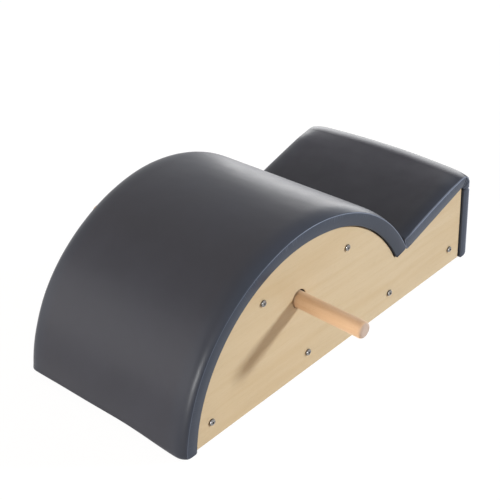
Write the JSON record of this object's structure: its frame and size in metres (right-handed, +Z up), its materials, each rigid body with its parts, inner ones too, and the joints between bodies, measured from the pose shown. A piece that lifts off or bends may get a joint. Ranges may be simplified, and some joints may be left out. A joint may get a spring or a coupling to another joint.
{
  "type": "pilates spine corrector",
  "caption": "Arched padded barrel with a seat valley and a padded ramp on plywood side panels, with a removable round wooden handle at each side.",
  "frame": {"origin": "on the floor, at the middle of the footprint of the whole object", "axes": "+Z up; +X from the toe of the barrel towards the padded back of the ramp; +Y across the width, towards the left side panel, and the object is mirrored about Y = 0"},
  "size_m": [0.9524, 0.7466, 0.3433],
  "materials": {
    "plywood": "satin lacquered pale veneer",
    "pine": "planed bare softwood",
    "beech": "turned and waxed",
    "vinyl": "satin fine-grained coated fabric",
    "foam": "open-cell upholstery foam",
    "polished_steel": "bright plated button heads",
    "zinc_steel": "zinc plated",
    "rubber": "matt"
  },
  "bodies": {
    "root": {"side_panel_left": "plywood", "anti_slip_strip_left": "rubber", "side_panel_right": "plywood", "anti_slip_strip_right": "rubber", "toe_rail": "pine", "frame_bolt_toe_left": "polished_steel", "cross_nut_toe_left": "zinc_steel", "frame_bolt_toe_right": "polished_steel", "cross_nut_toe_right": "zinc_steel", "middle_rail": "pine", "frame_bolt_middle_left": "polished_steel", "cross_nut_middle_left": "zinc_steel", "frame_bolt_middle_right": "polished_steel", "cross_nut_middle_right": "zinc_steel", "seat_rail": "pine", "frame_bolt_seat_left": "polished_steel", "cross_nut_seat_left": "zinc_steel", "frame_bolt_seat_right": "polished_steel", "cross_nut_seat_right": "zinc_steel", "rear_rail": "pine", "frame_bolt_rear_left": "polished_steel", "cross_nut_rear_left": "zinc_steel", "frame_bolt_rear_right": "polished_steel", "cross_nut_rear_right": "zinc_steel", "front_arch_rail": "pine", "frame_bolt_front_arch_left": "polished_steel", "cross_nut_front_arch_left": "zinc_steel", "front_arch_pad_screw_left": "zinc_steel", "frame_bolt_front_arch_right": "polished_steel", "cross_nut_front_arch_right": "zinc_steel", "front_arch_pad_screw_right": "zinc_steel", "rear_arch_rail": "pine", "frame_bolt_rear_arch_left": "polished_steel", "cross_nut_rear_arch_left": "zinc_steel", "rear_arch_pad_screw_left": "zinc_steel", "frame_bolt_rear_arch_right": "polished_steel", "cross_nut_rear_arch_right": "zinc_steel", "rear_arch_pad_screw_right": "zinc_steel", "barrel_board": "plywood", "barrel_foam": "foam", "barrel_cover": "vinyl", "ramp_board": "plywood", "ramp_foam": "foam", "ramp_cover": "vinyl", "back_board": "plywood", "back_foam": "foam", "back_cover": "vinyl", "ramp_cleat_left": "pine", "ramp_pad_screw_left": "zinc_steel", "back_cleat_left": "pine", "back_pad_screw_left": "zinc_steel", "handle_socket_left": "pine", "ramp_cleat_right": "pine", "ramp_pad_screw_right": "zinc_steel", "back_cleat_right": "pine", "back_pad_screw_right": "zinc_steel", "handle_socket_right": "pine"},
    "handle_left": {"handle_left": "beech"},
    "handle_right": {"handle_right": "beech"}
  },
  "joints": [
    {"name": "handle_left_pull", "type": "slide", "parent": "root", "child": "handle_left", "axis": [0, 0.9993, -0.0384], "range_m": [0, 0.09]},
    {"name": "handle_right_pull", "type": "slide", "parent": "root", "child": "handle_right", "axis": [0, -0.9993, -0.0384], "range_m": [0, 0.09]}
  ]
}
